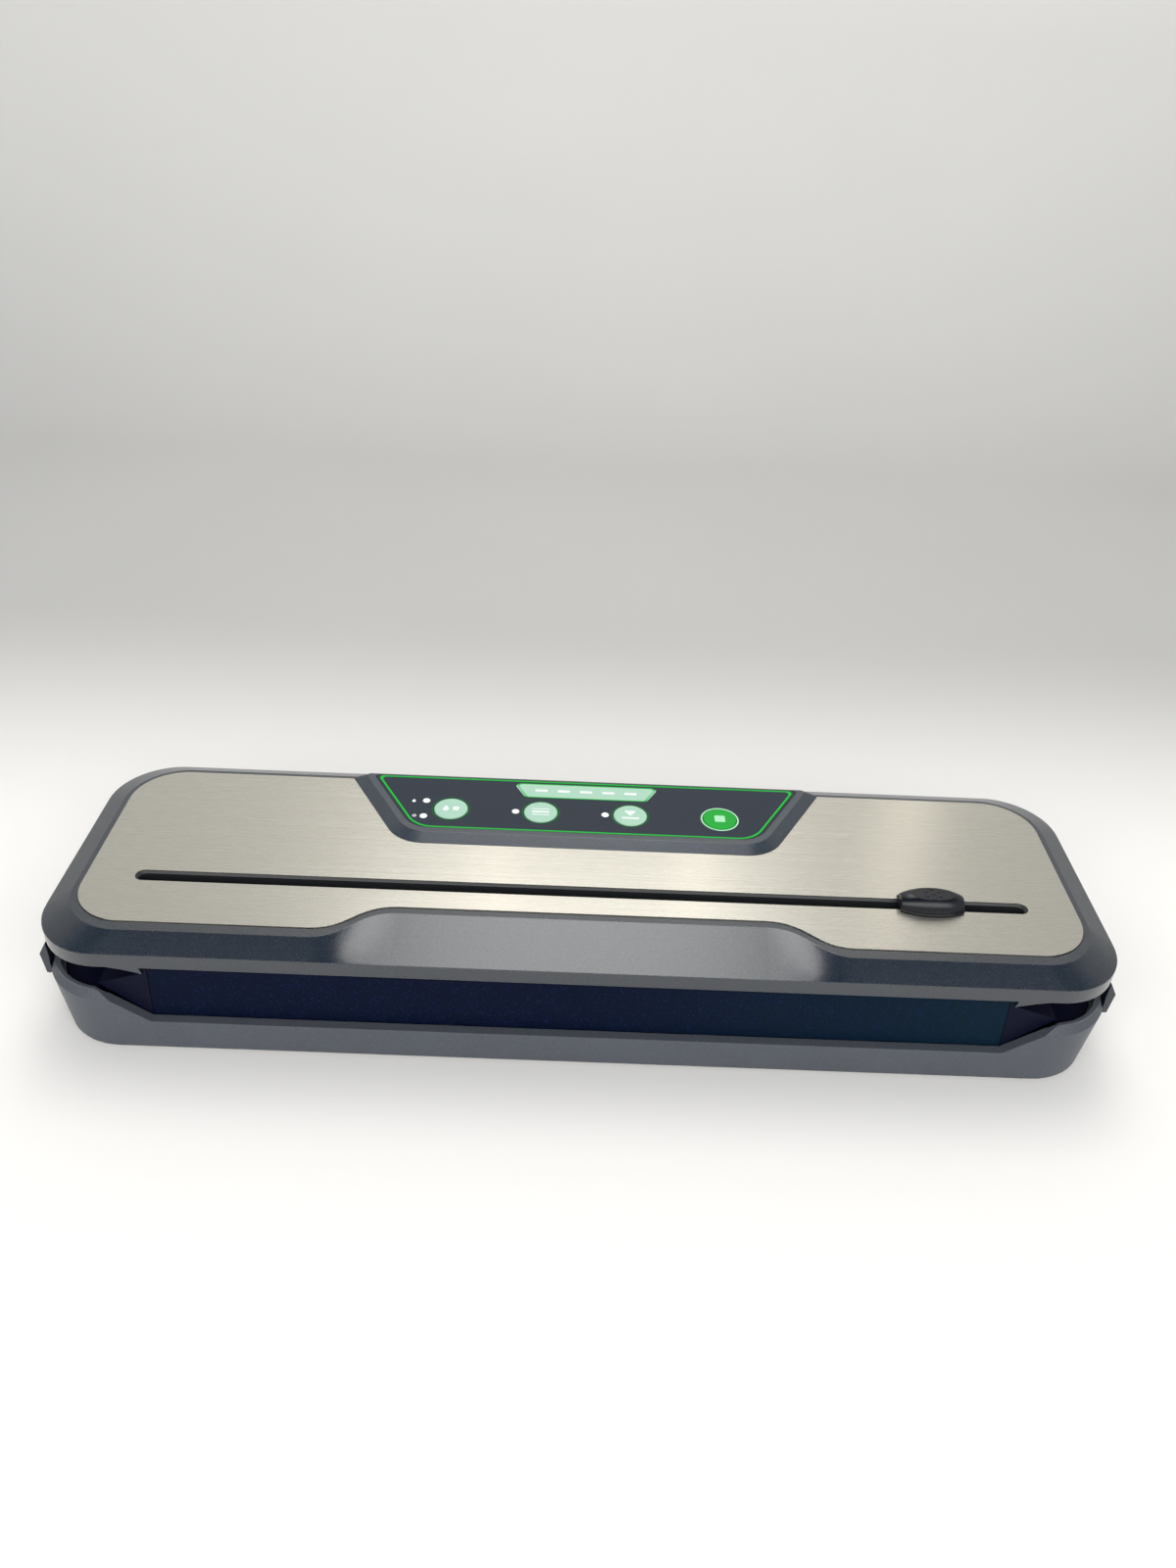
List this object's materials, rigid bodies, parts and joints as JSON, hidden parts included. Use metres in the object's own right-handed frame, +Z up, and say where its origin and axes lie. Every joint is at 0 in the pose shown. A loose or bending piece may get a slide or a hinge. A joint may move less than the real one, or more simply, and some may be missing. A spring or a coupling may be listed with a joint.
{
  "type": "vacuum sealer",
  "caption": "Slim countertop vacuum sealer for bags: rear-hinged lid with brushed top plate, raised key panel, sliding bag cutter and side latch buttons over a base with chamber and seal bar.",
  "frame": {"origin": "centre of the bounding box at the resting plane under the feet", "axes": "+X right along the length, +Y to the back (hinge side), +Z up"},
  "size_m": [0.396, 0.12, 0.0588],
  "materials": {
    "shell_plastic": "charcoal moulded plastic, fine spark texture",
    "under_plastic": "black moulded plastic",
    "feet_rubber": "matte rubber",
    "fastener_steel": "plated steel",
    "deck_plastic": "black moulded plastic",
    "apron_plastic": "navy-black moulded plastic, coarse sparkle texture",
    "tray_plastic": "grey moulded plastic",
    "gasket_rubber": "closed-cell foam rubber",
    "carrier_rubber": "heat-resistant silicone",
    "heater_metal": "bare resistance ribbon",
    "heat_tape": "coated glass cloth",
    "hose_rubber": "silicone tube",
    "motor_metal": "plated can",
    "core_metal": "varnished laminations",
    "board_plastic": "coated circuit board",
    "component_plastic": "moulded component cases",
    "pin_brass": "plated contact",
    "button_plastic": "charcoal moulded plastic",
    "top_steel": "long-grain brushed sheet",
    "pod_plastic": "dark satin plastic",
    "overlay_film": "slate printed film",
    "window_film": "pale diffusing film",
    "lamp_white": "white diffuser",
    "key_pale": "pale mint printed key",
    "key_green": "bright green printed key",
    "knob_plastic": "black moulded plastic"
  },
  "bodies": {
    "base": {"base_shell": "shell_plastic", "bottom_plate": "under_plastic", "rubber_feet": "feet_rubber", "base_screws": "fastener_steel", "base_deck": "deck_plastic", "front_apron": "apron_plastic", "chamber_tray": "tray_plastic", "chamber_gasket": "gasket_rubber", "seal_bar_carrier": "carrier_rubber", "heating_strip": "heater_metal", "heat_proof_tape": "heat_tape", "chamber_port": "under_plastic", "pump_hose": "hose_rubber", "pump_body": "under_plastic", "pump_motor": "motor_metal", "transformer": "core_metal", "main_board": "board_plastic", "board_components": "component_plastic", "power_inlet": "under_plastic", "inlet_pins": "pin_brass", "lid_switch": "component_plastic", "hinge_pins": "fastener_steel", "latch_pivot_pins": "fastener_steel", "latch_spring_right": "fastener_steel", "latch_spring_left": "fastener_steel"},
    "lid": {"lid_shell": "shell_plastic", "lid_liner": "deck_plastic", "steel_plate": "top_steel", "cutter_rail": "under_plastic", "pod_frame": "pod_plastic", "control_overlay": "overlay_film", "progress_window": "window_film", "progress_leds": "lamp_white", "indicator_lenses": "lamp_white", "control_board": "board_plastic", "key_switches": "component_plastic", "upper_gasket": "gasket_rubber", "pressure_strip": "carrier_rubber", "lid_strikers": "under_plastic", "lid_screws": "fastener_steel"},
    "latch_right": {"latch_lever_right": "under_plastic", "latch_button_right": "button_plastic"},
    "latch_left": {"latch_lever_left": "under_plastic", "latch_button_left": "button_plastic"},
    "cutter": {"cutter_knob": "knob_plastic", "cutter_carriage": "under_plastic", "cutter_blade": "fastener_steel"},
    "key_mode_body": {"key_mode": "key_pale"},
    "key_seal_body": {"key_seal": "key_pale"},
    "key_vacuum_seal_body": {"key_vacuum_seal": "key_pale"},
    "key_stop_body": {"key_stop": "key_green"}
  },
  "joints": [
    {"name": "lid_hinge", "type": "hinge", "parent": "base", "child": "lid", "pos_m": [0, 0.053, 0.038], "axis": [-1, 0, 0], "range_deg": [0, 70]},
    {"name": "latch_right_press", "type": "hinge", "parent": "base", "child": "latch_right", "pos_m": [0.184, -0.02, 0.02], "axis": [0, -1, 0], "range_deg": [0, 5], "stiffness_Nm_per_rad": 0.2, "springref_deg": -2.86, "deforming": ["latch_spring_right"]},
    {"name": "latch_left_press", "type": "hinge", "parent": "base", "child": "latch_left", "pos_m": [-0.184, -0.02, 0.02], "axis": [0, 1, 0], "range_deg": [0, 5], "stiffness_Nm_per_rad": 0.2, "springref_deg": -2.86, "deforming": ["latch_spring_left"]},
    {"name": "cutter_slide", "type": "slide", "parent": "lid", "child": "cutter", "axis": [1, 0, 0], "range_m": [-0.28, 0.022]},
    {"name": "key_mode_press", "type": "slide", "parent": "lid", "child": "key_mode_body", "axis": [0, 0, -1], "range_m": [0, 0.0004], "stiffness_N_per_m": 500, "springref_m": -0.001},
    {"name": "key_seal_press", "type": "slide", "parent": "lid", "child": "key_seal_body", "axis": [0, 0, -1], "range_m": [0, 0.0004], "stiffness_N_per_m": 500, "springref_m": -0.001},
    {"name": "key_vacuum_seal_press", "type": "slide", "parent": "lid", "child": "key_vacuum_seal_body", "axis": [0, 0, -1], "range_m": [0, 0.0004], "stiffness_N_per_m": 500, "springref_m": -0.001},
    {"name": "key_stop_press", "type": "slide", "parent": "lid", "child": "key_stop_body", "axis": [0, 0, -1], "range_m": [0, 0.0004], "stiffness_N_per_m": 500, "springref_m": -0.001}
  ]
}
